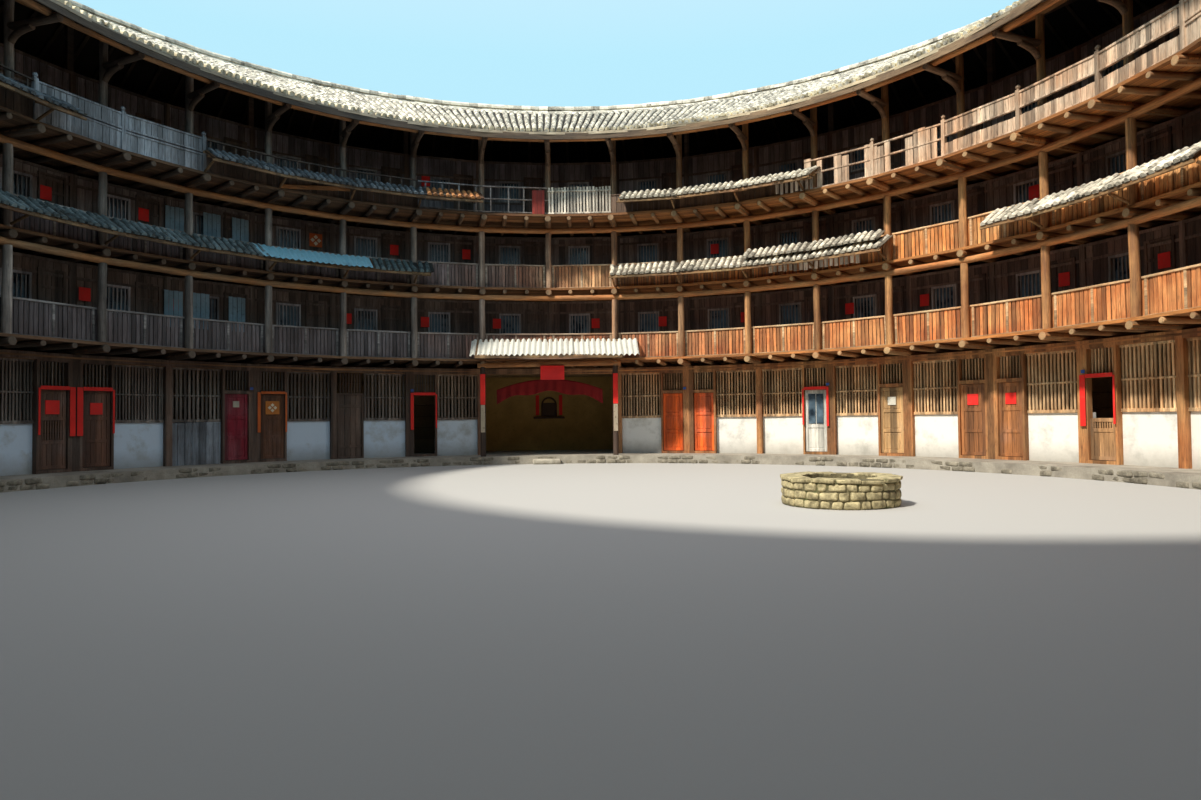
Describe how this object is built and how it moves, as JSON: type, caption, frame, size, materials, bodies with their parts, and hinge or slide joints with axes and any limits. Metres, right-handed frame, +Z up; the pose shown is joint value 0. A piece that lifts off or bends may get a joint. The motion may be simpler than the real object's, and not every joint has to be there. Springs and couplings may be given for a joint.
{
  "type": "tulou roundhouse",
  "caption": "Round earth-walled communal house around an open courtyard, with timber galleries, a ring roof, a hall, a gate, a well and hinged kitchen doors.",
  "frame": {"origin": "middle of the courtyard at ground level", "axes": "+Z up, +Y from the middle of the courtyard to the hall, -Y to the gate, +X to the right for someone who faces the hall"},
  "size_m": [39.5, 39.5, 12.9],
  "materials": {
    "plinth_stone": "rubble edge under a pale worn top",
    "rammed_earth": "rammed earth in courses",
    "gate_granite": "dressed granite",
    "kitchen_timber": "weathered brown posts and rails",
    "kitchen_lime": "limewash, stained at the foot",
    "door_old": "old brown boards",
    "door_red": "dark red paint",
    "door_orange": "orange stain",
    "door_tan": "tan boards and slats",
    "door_white": "white paint",
    "floor_timber": "round joists and floor boards",
    "gallery_timber": "posts and beams, grey to tan",
    "parapet_boards": "upright boards, grey to red-brown",
    "room_boards": "dark upright boards",
    "roof_timber": "dark timber",
    "roof_tile": "weathered grey clay tile",
    "ridge_tile": "weathered grey clay tile",
    "pent_tile": "weathered grey clay tile",
    "eave_timber": "pale weathered board",
    "hall_timber": "dark posts with blank red strips",
    "hall_boards": "dark boards",
    "canopy_timber": "brown bars",
    "canopy_sheet": "faded corrugated sheet",
    "well_stone": "rubble curb with moss"
  },
  "bodies": {
    "house": {"stone_plinth": "plinth_stone", "earth_wall_north": "rammed_earth", "earth_wall_east": "rammed_earth", "earth_wall_south": "rammed_earth", "earth_wall_west": "rammed_earth", "gate_stone_frame": "gate_granite", "ground_frame": "kitchen_timber", "kitchen_wall_1": "kitchen_lime", "kitchen_wall_2": "kitchen_lime", "kitchen_wall_3": "kitchen_lime", "kitchen_wall_4": "kitchen_lime", "kitchen_wall_5": "kitchen_lime", "kitchen_wall_6": "kitchen_lime", "kitchen_wall_7": "kitchen_lime", "kitchen_wall_8": "kitchen_lime", "kitchen_wall_9": "kitchen_lime", "kitchen_wall_10": "kitchen_lime", "floor_2": "floor_timber", "floor_3": "floor_timber", "floor_4": "floor_timber", "gallery_frame_2": "gallery_timber", "gallery_frame_3": "gallery_timber", "gallery_frame_4": "gallery_timber", "parapet_2": "parapet_boards", "parapet_3": "parapet_boards", "parapet_4": "parapet_boards", "room_front_2": "room_boards", "room_front_3": "room_boards", "room_front_4": "room_boards", "room_front_3_hall": "room_boards", "room_front_4_hall": "room_boards", "roof_frame": "roof_timber", "roof_inner_slope": "roof_tile", "roof_outer_slope": "roof_tile", "roof_ridge": "ridge_tile", "eave_fascia": "eave_timber", "hall_post_west": "hall_timber", "hall_post_east": "hall_timber", "hall_side_wall_west": "hall_boards", "hall_side_wall_east": "hall_boards", "hall_canopy_frame": "canopy_timber", "hall_canopy_sheet": "canopy_sheet", "pent_roof_3_west": "pent_tile", "pent_roof_3_east": "pent_tile", "pent_roof_3_far_east": "pent_tile", "pent_roof_4_far_west": "pent_tile", "pent_roof_4_west": "pent_tile", "pent_roof_4_east": "pent_tile", "well_curb": "well_stone"},
    "door_west_1": {"door_west_1": "door_old"},
    "door_west_2": {"door_west_2": "door_old"},
    "door_west_3": {"door_west_3": "door_red"},
    "door_west_4": {"door_west_4": "door_old"},
    "door_east_1": {"door_east_1": "door_orange"},
    "door_east_2": {"door_east_2": "door_orange"},
    "door_east_3": {"door_east_3": "door_white"},
    "door_east_4": {"door_east_4": "door_tan"},
    "door_east_5": {"door_east_5": "door_old"},
    "door_east_6": {"door_east_6": "door_old"},
    "half_gate_east": {"half_gate_east": "door_tan"}
  },
  "joints": [
    {"name": "door_west_1_swing", "type": "hinge", "parent": "house", "child": "door_west_1", "pos_m": [-12.014, 6.7001, 0.34], "axis": [0, 0, -1], "range_deg": [0, 90]},
    {"name": "door_west_2_swing", "type": "hinge", "parent": "house", "child": "door_west_2", "pos_m": [-11.8095, 7.0544, 0.34], "axis": [0, 0, 1], "range_deg": [0, 90]},
    {"name": "door_west_3_swing", "type": "hinge", "parent": "house", "child": "door_west_3", "pos_m": [-8.9979, 10.4051, 0.34], "axis": [0, 0, -1], "range_deg": [0, 90]},
    {"name": "door_west_4_swing", "type": "hinge", "parent": "house", "child": "door_west_4", "pos_m": [-8.6845, 10.6681, 0.34], "axis": [0, 0, 1], "range_deg": [0, 90]},
    {"name": "door_east_1_swing", "type": "hinge", "parent": "house", "child": "door_east_1", "pos_m": [4.5121, 12.995, 0.34], "axis": [0, 0, -1], "range_deg": [0, 90]},
    {"name": "door_east_2_swing", "type": "hinge", "parent": "house", "child": "door_east_2", "pos_m": [4.8965, 12.8551, 0.34], "axis": [0, 0, 1], "range_deg": [0, 90]},
    {"name": "door_east_3_swing", "type": "hinge", "parent": "house", "child": "door_east_3", "pos_m": [8.6845, 10.6681, 0.34], "axis": [0, 0, -1], "range_deg": [0, 90]},
    {"name": "door_east_4_swing", "type": "hinge", "parent": "house", "child": "door_east_4", "pos_m": [10.4051, 8.9979, 0.34], "axis": [0, 0, -1], "range_deg": [0, 90]},
    {"name": "door_east_5_swing", "type": "hinge", "parent": "house", "child": "door_east_5", "pos_m": [11.8095, 7.0544, 0.34], "axis": [0, 0, -1], "range_deg": [0, 90]},
    {"name": "door_east_6_swing", "type": "hinge", "parent": "house", "child": "door_east_6", "pos_m": [12.014, 6.7001, 0.34], "axis": [0, 0, 1], "range_deg": [0, 90]},
    {"name": "half_gate_east_swing", "type": "hinge", "parent": "house", "child": "half_gate_east", "pos_m": [12.995, 4.5121, 0.34], "axis": [0, 0, 1], "range_deg": [0, 90]}
  ]
}
